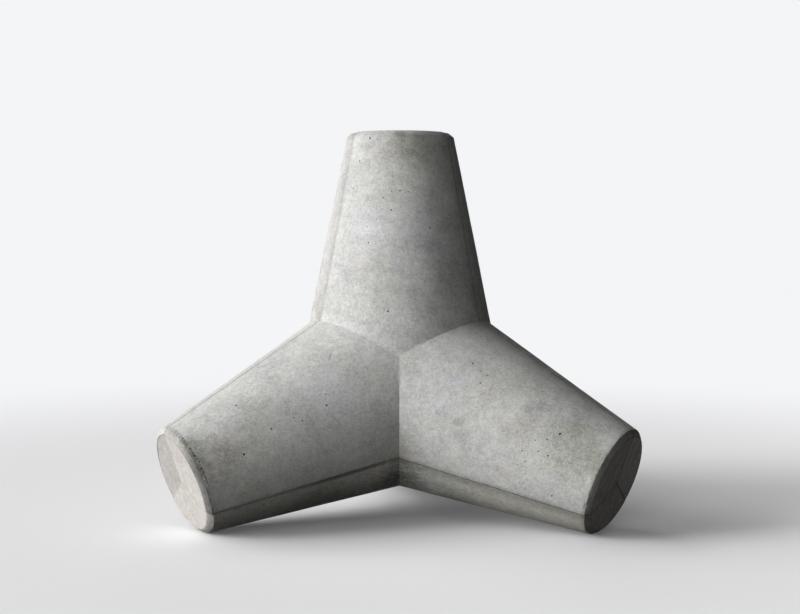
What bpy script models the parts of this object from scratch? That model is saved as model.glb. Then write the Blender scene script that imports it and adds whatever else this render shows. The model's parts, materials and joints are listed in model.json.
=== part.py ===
"""A small concrete tetrapod: four equal tapered legs, cast in one piece.

The leg axes meet at the middle of the body and point to the corners of a regular tetrahedron, so the
casting looks the same on any three of its legs. One leg stands upright and the other three are feet.
The origin is on the floor, under the middle of the casting's box. -Y is the front, between two feet,
and the third foot points back along +Y.
"""

import math

import bmesh
import bpy
from mathutils import Matrix, Vector

# Driving dimensions, in metres and radians.
LEG_REACH = 0.275  # from the middle of the body to each leg's end face
END_RADIUS = 0.0582  # of a leg at its end face, before the rim is chamfered
SIDE_SLOPE = math.radians(11.5)  # between a leg's side and its axis
RIM_CHAMFER = 0.0048  # cut back along the end face and along the side

LEG_SIDES = 120  # facets round a leg: a multiple of six makes neighbouring legs' facets meet edge to edge
CREASE_ANGLE = math.radians(25.0)  # edges sharper than this stay hard when the sides are shaded smooth
WELD = 0.00001  # the legs' cut edges are the same points, apart from rounding

# Worked out from the above.
ROOT_RADIUS = END_RADIUS + LEG_REACH * math.tan(SIDE_SLOPE)  # at the middle of the body
FOOT_DIP = math.asin(1.0 / 3.0)  # a foot's axis below the horizontal, in a regular tetrahedron

UPRIGHT = Vector((0.0, 0.0, 1.0))
REAR_HEADING = math.radians(90.0)  # of a foot round the vertical, seen from above
LEFT_HEADING = math.radians(210.0)
RIGHT_HEADING = math.radians(330.0)

CONCRETE_COLOUR = (0.47, 0.465, 0.44, 1.0)
CONCRETE_ROUGHNESS = 0.88


def clear_scene():
    """Remove whatever the scene holds."""
    for obj in list(bpy.data.objects):
        bpy.data.objects.remove(obj, do_unlink=True)


def concrete_material():
    """Make the plain cement-grey, matt finish of the casting."""
    material = bpy.data.materials.new("concrete")
    material.use_nodes = True
    shader = material.node_tree.nodes["Principled BSDF"]
    shader.inputs["Base Color"].default_value = CONCRETE_COLOUR
    shader.inputs["Roughness"].default_value = CONCRETE_ROUGHNESS
    shader.inputs["Metallic"].default_value = 0.0
    return material


def foot_axis(heading):
    """Point from the middle of the body along a foot."""
    across = math.cos(FOOT_DIP)
    return Vector((across * math.cos(heading), across * math.sin(heading), -math.sin(FOOT_DIP)))


FOOT_AXES = [foot_axis(heading) for heading in (REAR_HEADING, LEFT_HEADING, RIGHT_HEADING)]


def chamfer_end_rim(shape):
    """Cut the hard edge off the rim of the leg's end face."""
    end_rim = [
        edge
        for edge in shape.edges
        if all(vert.co.z > LEG_REACH / 2.0 for vert in edge.verts)
    ]
    bmesh.ops.bevel(shape, geom=end_rim, offset=RIM_CHAMFER, segments=1, affect="EDGES")


def cut_where_legs_meet(shape):
    """Cut the upright leg off at the planes half-way to each foot, which leaves its root open."""
    root_cap = [
        face
        for face in shape.faces
        if all(vert.co.z < LEG_REACH / 2.0 for vert in face.verts)
    ]
    bmesh.ops.delete(shape, geom=root_cap, context="FACES_ONLY")
    for axis in FOOT_AXES:
        bmesh.ops.bisect_plane(
            shape,
            geom=[*shape.verts, *shape.edges, *shape.faces],
            plane_co=(0.0, 0.0, 0.0),
            plane_no=(UPRIGHT - axis).normalized(),
            clear_inner=True,
        )


def leg_mesh():
    """Make the skin of the upright leg, from its chamfered end to the creases at its root."""
    shape = bmesh.new()
    bmesh.ops.create_cone(
        shape,
        cap_ends=True,
        segments=LEG_SIDES,
        radius1=ROOT_RADIUS,
        radius2=END_RADIUS,
        depth=LEG_REACH,
        matrix=Matrix.Translation((0.0, 0.0, LEG_REACH / 2.0)),
    )
    chamfer_end_rim(shape)
    cut_where_legs_meet(shape)
    mesh = bpy.data.meshes.new("leg")
    shape.to_mesh(mesh)
    shape.free()
    return mesh


def casting_mesh():
    """Join four like legs along their creases into one closed skin.

    Half a turn about the line midway between two legs' axes swaps those legs, and the other two.
    """
    leg = leg_mesh()
    shape = bmesh.new()
    shape.from_mesh(leg)
    for axis in FOOT_AXES:
        foot = leg.copy()
        foot.transform(Matrix.Rotation(math.pi, 4, (UPRIGHT + axis).normalized()))
        shape.from_mesh(foot)
        bpy.data.meshes.remove(foot)
    bpy.data.meshes.remove(leg)
    bmesh.ops.remove_doubles(shape, verts=shape.verts, dist=WELD)
    mesh = bpy.data.meshes.new("tetrapod")
    shape.to_mesh(mesh)
    shape.free()
    return mesh


def stand_on_floor(mesh):
    """Move the mesh so that its feet touch z = 0 and its box is centred over the origin."""
    points = [vert.co for vert in mesh.vertices]
    low = Vector([min(point[axis] for point in points) for axis in range(3)])
    high = Vector([max(point[axis] for point in points) for axis in range(3)])
    middle = (low + high) / 2.0
    mesh.transform(Matrix.Translation((-middle.x, -middle.y, -low.z)))


def shade(mesh):
    """Shade the round sides smooth, keeping the creases and the chamfered rims hard."""
    mesh.materials.append(concrete_material())
    mesh.shade_smooth()
    mesh.set_sharp_from_angle(angle=CREASE_ANGLE)


def main():
    """Build the casting."""
    clear_scene()
    mesh = casting_mesh()
    stand_on_floor(mesh)
    shade(mesh)
    whole = bpy.data.collections.new("concrete_tetrapod")
    bpy.context.scene.collection.children.link(whole)
    whole.objects.link(bpy.data.objects.new("tetrapod", mesh))


main()
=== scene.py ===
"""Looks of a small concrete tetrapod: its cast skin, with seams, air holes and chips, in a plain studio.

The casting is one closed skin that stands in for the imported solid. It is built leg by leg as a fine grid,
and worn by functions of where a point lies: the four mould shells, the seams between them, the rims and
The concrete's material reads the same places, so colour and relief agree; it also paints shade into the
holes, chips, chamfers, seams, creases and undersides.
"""

import json
import logging
import math
from dataclasses import dataclass, field
from enum import Enum
from typing import Any, Mapping, Sequence, Union

import bmesh
import bpy
import numpy as np
from mathutils import Matrix, Vector, kdtree, noise


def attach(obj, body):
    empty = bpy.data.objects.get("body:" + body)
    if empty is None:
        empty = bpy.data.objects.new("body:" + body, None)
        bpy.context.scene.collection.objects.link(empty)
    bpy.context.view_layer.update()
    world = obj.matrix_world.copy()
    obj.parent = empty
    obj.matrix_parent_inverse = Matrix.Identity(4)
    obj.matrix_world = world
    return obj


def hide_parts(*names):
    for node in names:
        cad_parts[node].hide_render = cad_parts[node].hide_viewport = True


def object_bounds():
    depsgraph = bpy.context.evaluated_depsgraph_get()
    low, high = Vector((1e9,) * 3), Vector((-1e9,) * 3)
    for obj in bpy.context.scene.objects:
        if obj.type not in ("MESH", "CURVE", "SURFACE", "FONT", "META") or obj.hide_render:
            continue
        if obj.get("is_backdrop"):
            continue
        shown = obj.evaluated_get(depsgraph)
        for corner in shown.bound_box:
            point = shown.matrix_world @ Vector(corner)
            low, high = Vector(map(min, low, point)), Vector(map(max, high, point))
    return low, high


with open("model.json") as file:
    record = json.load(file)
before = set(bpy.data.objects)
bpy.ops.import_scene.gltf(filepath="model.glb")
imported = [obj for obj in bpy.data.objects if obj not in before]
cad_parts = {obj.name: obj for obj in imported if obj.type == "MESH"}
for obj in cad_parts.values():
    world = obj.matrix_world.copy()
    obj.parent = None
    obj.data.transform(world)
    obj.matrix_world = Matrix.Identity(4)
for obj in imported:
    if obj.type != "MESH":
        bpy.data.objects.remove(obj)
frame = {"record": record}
cad_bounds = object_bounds()

log = logging.getLogger("tetrapod")

MM = 0.001
CASTING_NODE = "tetrapod"
END_FACE = 275.0  # Millimetres along a leg to its end face.

Colour = tuple[float, float, float, float]
Points = np.ndarray


class Leg(Enum):
    """A leg of the tetrapod, by the mount on its end face."""

    TOP = "top_end"
    REAR = "rear_end"
    LEFT = "left_end"
    RIGHT = "right_end"


@dataclass(frozen=True)
class Spot:
    """A place on a leg's skin.

    Attributes:
        leg: The leg it lies on.
        heading: Degrees round the leg from the middle of its leading side, growing to the right of
            someone who looks at that side with the leg's end up.
        along: Millimetres along the leg's axis from the middle of the body.
        inward: Millimetres in from the side towards the axis, for a place on the end face.
    """

    leg: Leg
    heading: float
    along: float
    inward: float = 0.0


@dataclass(frozen=True)
class BodyPlan:
    """Sizes of the casting, in metres, and where its middle lies.

    Attributes:
        middle: Where the four leg axes meet.
        reach: From the middle to each end face.
        axes: Unit vector along each leg.
        end_radius: Of a leg at its end face, before the rim is chamfered.
        slope: Between a leg's side and its axis, in radians.
        chamfer: Cut back along the end face and along the side.
    """

    middle: Vector
    reach: float
    axes: dict[Leg, Vector]
    end_radius: float = 0.0582
    slope: float = math.radians(11.5)
    chamfer: float = 0.0048

    @classmethod
    def from_frame(cls, record: dict[str, Any]) -> "BodyPlan":
        """Work out the plan from the end faces that the record states.

        Args:
            record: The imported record.

        Returns:
            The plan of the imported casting.
        """
        mounts = {mount["name"]: mount for mount in record["mounts"]}
        axes = {leg: Vector(mounts[leg.value]["axis"]).normalized() for leg in Leg}
        top = Vector(mounts[Leg.TOP.value]["pos_m"])
        foot = Vector(mounts[Leg.LEFT.value]["pos_m"])
        reach = (top.z - foot.z) / (1.0 - axes[Leg.LEFT].z)
        return cls(middle=top - reach * axes[Leg.TOP], reach=reach, axes=axes)

    @property
    def side_radius_at_middle(self) -> float:
        """Give the radius that a leg's side would have at the middle of the body."""
        return self.end_radius + self.reach * math.tan(self.slope)

    @property
    def rim_along(self) -> float:
        """Give how far along a leg its side ends and the chamfer starts."""
        return self.reach - self.chamfer * math.cos(self.slope)

    def radius_at(self, along: Union[float, np.ndarray]) -> Union[float, np.ndarray]:
        """Give the radius of a leg's side.

        Args:
            along: Distance along the leg's axis from the middle.

        Returns:
            The side's radius there.
        """
        return self.side_radius_at_middle - along * math.tan(self.slope)

    def crease_along(self, heading_from_neighbour: np.ndarray) -> np.ndarray:
        """Give how far along a leg its side starts, at the crease with the nearest neighbour.

        Args:
            heading_from_neighbour: Angle round the leg from the neighbour's direction, in radians.

        Returns:
            Distance along the leg's axis of the crease at that angle.
        """
        cosine = -1.0 / 3.0
        across = math.sqrt(1.0 - cosine * cosine) * np.cos(heading_from_neighbour)
        return self.side_radius_at_middle * across / (1.0 - cosine + math.tan(self.slope) * across)

    def locate(self, spot: Spot) -> Vector:
        """Find a spot's position.

        Args:
            spot: A place on a leg's skin.

        Returns:
            Its position, on the skin before any wear.
        """
        axis = self.axes[spot.leg]
        behind = self.axes[Leg.TOP if spot.leg is Leg.REAR else Leg.REAR]
        leading = (behind.dot(axis) * axis - behind).normalized()
        turn = math.radians(spot.heading)
        outward = math.cos(turn) * leading + math.sin(turn) * axis.cross(leading)
        along = spot.along * MM
        radius = self.radius_at(min(along, self.rim_along)) - spot.inward * MM
        return self.middle + along * axis + radius * outward


@dataclass
class GridSpacing:
    """How finely the skin is divided.

    Attributes:
        seam_columns: Distances of the finest columns from a mould seam, in metres.
        open_columns: Columns in the rest of each sixth of a leg.
        side_rows: Rows along a leg's side, up to the fine rows at the rim.
        rim_rows: Distances of the fine rows from the rim, in metres.
        chamfer_rows: How far each row across the chamfered rim is in from the side and out along the
            leg, as shares of the chamfer. It rounds off into the end face.
        face_rows: Rings on an end face.
        face_hub: Radius of the innermost ring, in metres.
    """

    seam_columns: Sequence[float] = (0.0, 0.3 * MM, 0.7 * MM, 1.2 * MM, 2.0 * MM, 3.2 * MM, 4.8 * MM)
    open_columns: int = 23
    side_rows: int = 80
    rim_rows: Sequence[float] = (5.4 * MM, 4.0 * MM, 2.8 * MM, 1.8 * MM, 1.0 * MM, 0.4 * MM, 0.0)
    chamfer_rows: Sequence[tuple[float, float]] = (
        (0.17, 0.17), (0.34, 0.34), (0.52, 0.52), (0.70, 0.70),
        (0.86, 0.84), (1.0, 0.935), (1.16, 0.985), (1.34, 1.0),
    )
    face_rows: int = 17
    face_hub: float = 3.0 * MM

    def headings(self, radius: np.ndarray) -> np.ndarray:
        """Give the columns' angles from a seam over a sixth of a leg, for rows of several radii.

        Args:
            radius: Radius of each row, as a column vector.

        Returns:
            Angles in radians, one row for each radius, from 0 up to and with 60 degrees.
        """
        near = np.asarray(self.seam_columns)[None, :] / radius
        near = near * np.minimum(1.0, math.pi / 6.0 / near[:, -1:])
        edge = near[:, -1:]
        steps = np.linspace(0.0, 1.0, self.open_columns + 2)[None, 1:]
        far = edge + (math.pi / 3.0 - edge) * steps
        return np.concatenate([near, far], axis=1)


def noise_field(points: Points, size: float, seed: int) -> np.ndarray:
    """Read smooth noise at many points.

    Args:
        points: Positions in metres, one a row.
        size: Typical width of a bump, in metres.
        seed: Picks the pattern.

    Returns:
        One value for each point, about -1 to 1.
    """
    shift = np.array([17.3, 5.1, 29.7]) * (seed + 1)
    return np.array([noise.noise(Vector(point)) for point in points / size + shift])


def falloff(distance: np.ndarray, width: float) -> np.ndarray:
    """Fade smoothly from 1 at no distance to 0 at the width.

    Args:
        distance: Distances in metres.
        width: Where the fade ends, in metres.

    Returns:
        One value for each distance.
    """
    share = np.clip(1.0 - distance / width, 0.0, 1.0)
    return share * share * (3.0 - 2.0 * share)


@dataclass(frozen=True)
class SeamRelief:
    """How a mould seam stands in the skin along one leg.

    Attributes:
        groove: Depth of the line itself, in millimetres.
        proud_roll: How far the prouder shell's edge falls away, in millimetres.
        proud_width: Over what distance it does, in millimetres.
        low_roll: How far the lower shell dips towards the seam, in millimetres.
        low_width: Over what distance it does, in millimetres.
        crumble: How far the edge has crumbled in places, in millimetres.
    """

    groove: float = 0.35
    proud_roll: float = 0.15
    proud_width: float = 1.5
    low_roll: float = 0.2
    low_width: float = 3.0
    crumble: float = 0.2


@dataclass(frozen=True)
class AirHole:
    """A small round hole that a bubble left in the skin.

    Attributes:
        spot: Its middle.
        radius: Half its width, in millimetres.
    """

    spot: Spot
    radius: float


class MouldPattern:
    """The four shells of the mould, each opposite one leg, and the relief that they left."""

    LEGS = list(Leg)
    RECESS = {Leg.REAR: -0.25, Leg.RIGHT: 0.3, Leg.LEFT: 0.25, Leg.TOP: 0.2}
    FACE_RECESS = {Leg.REAR: -0.25, Leg.RIGHT: 1.2, Leg.LEFT: 0.7, Leg.TOP: -0.15}
    RIM_SHIFT = {Leg.LEFT: 1.3}
    RELIEF = {
        (Leg.TOP, Leg.LEFT): SeamRelief(0.1, 0.05, 0.8, 0.7, 5.5, 0.1),
        (Leg.TOP, Leg.RIGHT): SeamRelief(0.3, 0.1, 1.0, 0.1, 2.0, 0.5),
        (Leg.LEFT, Leg.TOP): SeamRelief(0.3, 0.1, 1.5, 0.3, 3.0, 0.2),
        (Leg.LEFT, Leg.RIGHT): SeamRelief(0.2, 0.5, 3.2, 0.1, 2.0, 0.1),
        (Leg.RIGHT, Leg.TOP): SeamRelief(0.3, 0.2, 2.0, 0.2, 3.0, 0.2),
        (Leg.RIGHT, Leg.LEFT): SeamRelief(0.35, 0.1, 1.0, 0.15, 3.5, 0.55),
    }
    CREASE_SOFTNESS = 0.12

    def __init__(self, plan: BodyPlan) -> None:
        """Keep the plan.

        Args:
            plan: The casting's plan.
        """
        self.plan = plan
        self.axes = np.array([plan.axes[leg] for leg in self.LEGS])
        self.apart = float(np.linalg.norm(self.axes[0] - self.axes[1]))

    def along_axes(self, points: Points) -> np.ndarray:
        """Measure points along the four legs.

        Args:
            points: Positions, one a row.

        Returns:
            One column for each leg, in the order of Leg.
        """
        return (points - np.array(self.plan.middle)) @ self.axes.T

    def depth(self, points: Points) -> np.ndarray:
        """Work out how far the mould's fit sets each point in from the ideal skin.

        Args:
            points: Positions on the ideal skin, one a row.

        Returns:
            Depth at each point, in millimetres.
        """
        along = self.along_axes(points)
        order = np.argsort(along, axis=1)
        ranked = np.take_along_axis(along, order, axis=1)
        distance = (ranked[:, 1] - ranked[:, 0]) / self.apart
        on_face = (ranked[:, 3] > self.plan.reach - 0.1 * MM)[:, None]
        sides = np.array([self.RECESS[leg] for leg in self.LEGS])
        faces = np.array([self.FACE_RECESS[leg] for leg in self.LEGS])
        recess = np.where(on_face, faces, sides)
        own, other = (np.take_along_axis(recess, order[:, rank:rank + 1], axis=1)[:, 0] for rank in (0, 1))
        share = np.clip(0.5 + distance / (0.6 * MM), 0.5, 1.0)
        proud = own < other
        ragged = np.clip(0.55 + 0.9 * noise_field(points, 7.0 * MM, 3), 0.0, 1.0)
        broken = np.clip(noise_field(points, 3.2 * MM, 4) * 2.4 - 0.2, 0.0, 1.0)
        fineness = np.where(on_face[:, 0], 0.3, 1.0)
        depth = share * own + (1.0 - share) * other
        for number, leg in enumerate(self.LEGS):
            for ahead, towards in enumerate(self.LEGS):
                relief = self.RELIEF.get((leg, towards), SeamRelief())
                here = (order[:, 3] == number) & (order[:, 2] == ahead)
                seam = relief.groove * ragged * falloff(distance, 0.9 * MM) * fineness
                seam += relief.crumble * broken * falloff(distance, 2.2 * MM)
                rolls = (
                    relief.proud_roll * falloff(distance, relief.proud_width * MM),
                    relief.low_roll * falloff(distance, relief.low_width * MM),
                )
                depth += here * (seam + np.where(proud, *rolls))
        return depth + self.CREASE_SOFTNESS * falloff((ranked[:, 3] - ranked[:, 2]) / self.apart, 1.2 * MM)

    def shifted_rims(self, points: Points) -> Points:
        """Work out how far a rim lies beyond its planned place, where the leading shell was cast fuller.

        Args:
            points: Positions on the ideal skin, one a row.

        Returns:
            The shift of each point, in metres.
        """
        along = self.along_axes(points)
        shifts = np.zeros_like(points)
        leading = along[:, self.LEGS.index(Leg.REAR)] <= along.min(axis=1)
        for leg, amount in self.RIM_SHIFT.items():
            number = self.LEGS.index(leg)
            own = along[:, number]
            share = np.clip(1.0 - np.abs(own - self.plan.rim_along) / self.plan.chamfer, 0.0, 1.0)
            shift = amount * MM * share * leading * (own >= along.max(axis=1))
            shifts += shift[:, None] * self.axes[number]
        return shifts


class Wear:
    """What handling and casting did to the skin: its unevenness, crumbled rims and chips.

    Each chip has its heading in degrees, then its place along the leg, radius and depth in millimetres.
    """

    RIM_CRUMBLE = {Leg.TOP: 0.35, Leg.REAR: 0.6, Leg.LEFT: 0.6, Leg.RIGHT: 0.7}
    CHIPS = {
        Leg.LEFT: (
            (62.0, 193.0, 4.5, 0.9), (60.0, 186.0, 3.0, 0.6), (-2.0, 271.0, 2.2, 1.1),
            (14.0, 271.5, 2.6, 1.3), (33.0, 270.5, 2.4, 1.0), (-35.0, 272.0, 3.0, 0.9),
            (-130.0, 271.0, 3.2, 1.1),
        ),
        Leg.TOP: (
            (-61.5, 71.5, 2.6, 1.4), (57.0, 270.0, 3.0, 0.8), (150.0, 271.5, 2.8, 0.9),
        ),
        Leg.RIGHT: (
            (33.0, 271.0, 2.6, 1.2), (12.0, 271.0, 2.2, 0.9), (48.0, 270.5, 3.4, 1.3),
            (119.0, 273.0, 4.0, 1.6), (-8.0, 272.0, 3.2, 1.0),
        ),
        Leg.REAR: (
            (20.0, 271.0, 4.0, 1.3), (-95.0, 271.5, 3.0, 1.1), (160.0, 271.0, 2.4, 0.9),
        ),
    }
    SCRATCH = (Spot(Leg.LEFT, 20.2, 101.0), Spot(Leg.LEFT, 23.2, 95.5))

    def __init__(self, plan: BodyPlan, mould: MouldPattern) -> None:
        """Keep the plan and the mould.

        Args:
            plan: The casting's plan.
            mould: Its mould, which measures where points lie.
        """
        self.plan = plan
        self.mould = mould

    def depth(self, points: Points) -> np.ndarray:
        """Work out how far wear sets each point in.

        Args:
            points: Positions on the ideal skin, one a row.

        Returns:
            Depth at each point, in millimetres.
        """
        along = self.mould.along_axes(points)
        highest = along.max(axis=1)
        depth = 0.30 * noise_field(points, 62.0 * MM, 0) + 0.08 * noise_field(points, 13.0 * MM, 1)
        crumble = np.array([self.RIM_CRUMBLE[leg] for leg in self.mould.LEGS])[along.argmax(axis=1)]
        bite = 1.9 * noise_field(points, 3.1 * MM, 2) + 0.4 * noise_field(points, 11.0 * MM, 5)
        bite = np.clip(bite, 0.0, 1.0)
        depth += crumble * (0.1 + bite) * falloff(np.abs(highest - self.plan.rim_along), 1.9 * MM)
        for leg, chips in self.CHIPS.items():
            for heading, place, radius, deepest in chips:
                centre = np.array(self.plan.locate(Spot(leg, heading, place)))
                away = np.linalg.norm(points - centre, axis=1)
                depth += deepest * falloff(away, radius * MM)
        start, end = (np.array(self.plan.locate(spot)) for spot in self.SCRATCH)
        share = np.clip((points - start) @ (end - start) / np.dot(end - start, end - start), 0.0, 1.0)
        away = np.linalg.norm(points - start - share[:, None] * (end - start), axis=1)
        return depth + 0.4 * falloff(away, 1.8 * MM)


@dataclass(frozen=True)
class HoleShape:
    """How an air hole goes down, ring by ring.

    Attributes:
        steps: For each ring, how far it is drawn in and how far it is sunk, as shares of the hole's radius.
        growth: How much wider the mouth is than the clear hole inside its worn lip.
        grid_room: How much longer than the radius the grid's edges at a hole are.
        unevenness: How far its outline strays from a circle, as a share of the radius.
        scattered: How many small holes are scattered over each leg.
        front_share: Share of them that is kept on the front, where the larger ones are listed one by one.
        smallest: Radius of the smallest scattered hole, in millimetres.
        typical: Mean of what is added to the smallest radius, in millimetres.
        largest: Radius of the largest scattered hole, in millimetres.
    """

    steps: tuple[tuple[float, float], ...] = ((0.12, 0.55), (0.3, 0.45))
    growth: float = 1.18
    grid_room: float = 1.15
    unevenness: float = 0.16
    scattered: int = 90
    front_share: float = 0.2
    smallest: float = 0.28
    typical: float = 0.13
    largest: float = 0.95


# Heading in degrees, then the place along the leg and the radius in millimetres.
AIR_HOLES = {
    Leg.TOP: (
        (-42.2, 243.0, 0.75), (-13.0, 202.0, 0.7), (-7.5, 209.0, 0.55), (-1.2, 210.0, 0.65),
        (8.0, 210.5, 0.55), (9.5, 207.0, 0.4), (-7.5, 190.5, 0.75), (-7.0, 226.0, 0.5),
        (-45.0, 212.0, 0.45), (-19.0, 180.0, 0.55), (24.5, 169.5, 0.85), (-8.0, 84.0, 0.85),
        (-27.0, 172.0, 0.45), (55.0, 221.0, 0.6), (47.0, 140.0, 0.6), (-32.0, 268.0, 0.85),
        (-27.0, 269.4, 0.9), (-23.0, 264.5, 0.5), (-13.5, 269.2, 0.85), (-10.0, 267.3, 1.15),
        (-12.0, 261.0, 0.55), (-2.0, 268.7, 1.05), (2.0, 269.2, 0.85), (8.5, 268.9, 1.15),
        (14.5, 267.8, 1.15), (4.5, 263.0, 0.5),
    ),
    Leg.LEFT: (
        (-14.9, 224.3, 1.0), (-5.0, 187.5, 0.75), (-9.7, 157.5, 0.8), (-6.6, 128.5, 0.95),
        (1.0, 124.0, 0.55), (7.0, 120.0, 0.4), (-66.0, 218.0, 0.75), (-68.0, 260.0, 0.7),
        (27.0, 268.5, 0.85), (21.0, 266.5, 0.6), (15.0, 268.0, 0.9), (4.0, 268.5, 0.9),
        (-2.0, 266.5, 0.6), (-10.0, 268.0, 0.7),
    ),
    Leg.RIGHT: (
        (-3.7, 220.0, 1.15), (4.5, 210.0, 0.7), (17.4, 219.0, 0.75), (17.4, 209.0, 0.65),
        (28.0, 201.0, 0.65), (21.3, 194.0, 0.65), (38.7, 203.5, 0.6), (33.0, 196.0, 0.55),
        (49.3, 234.0, 0.75), (9.0, 200.5, 0.55), (9.5, 182.5, 0.6), (-10.0, 123.5, 0.7),
        (-15.5, 125.6, 0.55), (-17.0, 119.7, 0.45), (-20.0, 105.0, 0.75), (-2.0, 114.0, 0.45),
    ),
}
# On the left foot's end face: heading in degrees, then the place in from the rim and the radius.
FACE_HOLES = ((30.0, 20.0, 0.75), (8.0, 12.0, 0.8), (-12.0, 18.0, 0.65), (-30.0, 30.0, 0.5))


@dataclass
class Casting:
    """The one cast piece: its skin, the mould's marks in it, its wear and its concrete."""

    plan: BodyPlan
    spacing: GridSpacing = field(default_factory=GridSpacing)
    holes: HoleShape = field(default_factory=HoleShape)
    seed: int = 11

    def sixth_rows(self) -> np.ndarray:
        """Lay out one leg's skin over a sixth of a turn, from the crease to the end face.

        Returns:
            Array of rows by columns by (heading from the seam, along, radius).
        """
        plan, spacing = self.plan, self.spacing
        previous = spacing.headings(np.full((1, 1), float(plan.radius_at(0.3 * plan.reach))))[0]
        first_rim_row = plan.rim_along - spacing.rim_rows[0]
        rows = []
        for step in np.linspace(0.0, 1.0, spacing.side_rows):
            for _ in range(4):
                crease = plan.crease_along(previous)
                along = crease + (first_rim_row - crease) * step
                radius = plan.radius_at(along)
                previous = self.headings_for(radius)
            rows.append(np.stack([previous, along, radius], axis=1))
        for back in spacing.rim_rows[1:]:
            along = np.full_like(previous, plan.rim_along - back)
            radius = plan.radius_at(along)
            rows.append(np.stack([self.headings_for(radius), along, radius], axis=1))
        outer = plan.radius_at(plan.rim_along)
        inner = plan.end_radius - plan.chamfer
        for inward, outward in spacing.chamfer_rows:
            radius = np.full_like(previous, outer + (inner - outer) * inward)
            along = np.full_like(previous, plan.rim_along + (plan.reach - plan.rim_along) * outward)
            rows.append(np.stack([self.headings_for(radius), along, radius], axis=1))
        inner = float(radius[0])
        for step in np.linspace(0.0, 1.0, spacing.face_rows + 1)[1:]:
            radius = np.full_like(previous, inner + (spacing.face_hub - inner) * step)
            along = np.full_like(previous, plan.reach)
            rows.append(np.stack([self.headings_for(radius), along, radius], axis=1))
        return np.array(rows)

    def headings_for(self, radius: np.ndarray) -> np.ndarray:
        """Give each column's angle from the seam where the skin has these radii.

        Args:
            radius: Radius at each column.

        Returns:
            Angle at each column, in radians.
        """
        table = self.spacing.headings(radius[:, None])
        return table[np.arange(len(radius)), np.arange(table.shape[1])]

    def leg_grid(self) -> tuple[Points, list[tuple[int, ...]]]:
        """Build the upright leg's grid about the middle of the body, its root left open at the creases.

        Returns:
            Positions, and faces as vertex numbers.
        """
        sixth = self.sixth_rows()
        last = sixth.shape[1] - 1
        seams = self.seam_headings()
        rings = []
        for third, seam in enumerate(seams):
            following = seams[(third + 1) % 3]
            for column in range(last + 1):
                rings.append(self.column_points(sixth[:, column], seam, 1.0))
            for column in range(last - 1, 0, -1):
                rings.append(self.column_points(sixth[:, column], following, -1.0))
        grid = np.stack(rings, axis=1)
        rows, columns = grid.shape[:2]
        points = np.concatenate([grid.reshape(-1, 3), [[0.0, 0.0, self.plan.reach]]])
        faces: list[tuple[int, ...]] = []
        for column in range(columns):
            right = (column + 1) % columns
            for base in range(0, (rows - 1) * columns, columns):
                above = base + columns
                faces.append((base + column, base + right, above + right, above + column))
            inmost = (rows - 1) * columns
            faces.append((inmost + column, inmost + right, len(points) - 1))
        return points, faces

    def seam_headings(self) -> list[float]:
        """Give the upright leg's seam angles, which are the headings of its three neighbours."""
        order = (Leg.REAR, Leg.LEFT, Leg.RIGHT)
        return [math.atan2(self.plan.axes[leg].y, self.plan.axes[leg].x) for leg in order]

    @staticmethod
    def column_points(column: np.ndarray, seam: float, side: float) -> Points:
        """Place one column of a leg's grid.

        Args:
            column: Heading from the seam, distance along the leg and radius, one row each.
            seam: The seam's angle round the leg.
            side: 1.0 for the side that turns with the angle, -1.0 for the other.

        Returns:
            One position for each row.
        """
        turn = seam + side * column[:, 0]
        return np.stack([column[:, 2] * np.cos(turn), column[:, 2] * np.sin(turn), column[:, 1]], axis=1)

    def ideal_skin(self) -> bpy.types.Mesh:
        """Join four like legs along their creases into one closed skin, in place.

        Returns:
            The mesh, before any wear.
        """
        points, faces = self.leg_grid()
        shape = bmesh.new()
        upright = self.plan.axes[Leg.TOP]
        turns = [Matrix.Identity(4)]
        for leg in (Leg.REAR, Leg.LEFT, Leg.RIGHT):
            halfway = (upright + self.plan.axes[leg]).normalized()
            turns.append(Matrix.Rotation(math.pi, 4, halfway))
        for turn in turns:
            piece = bpy.data.meshes.new("leg")
            piece.from_pydata(points.tolist(), [], faces)
            piece.transform(Matrix.Translation(self.plan.middle) @ turn)
            shape.from_mesh(piece)
            bpy.data.meshes.remove(piece)
        bmesh.ops.remove_doubles(shape, verts=shape.verts, dist=0.01 * MM)
        bmesh.ops.recalc_face_normals(shape, faces=shape.faces)
        mesh = bpy.data.meshes.new("casting_skin")
        shape.to_mesh(mesh)
        shape.free()
        return mesh

    def wear_skin(self, mesh: bpy.types.Mesh) -> None:
        """Set the skin in along its normals, by the mould's fit and by wear.

        Args:
            mesh: The ideal skin, which is changed.
        """
        points = np.empty(len(mesh.vertices) * 3, np.float32)
        normals = np.empty_like(points)
        mesh.vertices.foreach_get("co", points)
        mesh.vertices.foreach_get("normal", normals)
        points = points.reshape(-1, 3).astype(np.float64)
        mould = MouldPattern(self.plan)
        depth = mould.depth(points) + Wear(self.plan, mould).depth(points)
        points += mould.shifted_rims(points) - normals.reshape(-1, 3) * (depth * MM)[:, None]
        points = np.clip(points, np.array(cad_bounds[0]), np.array(cad_bounds[1]))
        mesh.vertices.foreach_set("co", points.astype(np.float32).ravel())
        mesh.update()

    @staticmethod
    def placed_holes() -> list[AirHole]:
        """List the air holes that are given one by one.

        Returns:
            Those on the legs' sides, then those on the left foot's end.
        """
        found = []
        for leg, holes in AIR_HOLES.items():
            for heading, along, radius in holes:
                found.append(AirHole(Spot(leg, heading, along), radius))
        for heading, inward, radius in FACE_HOLES:
            found.append(AirHole(Spot(Leg.LEFT, heading, END_FACE, inward), radius))
        return found

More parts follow.
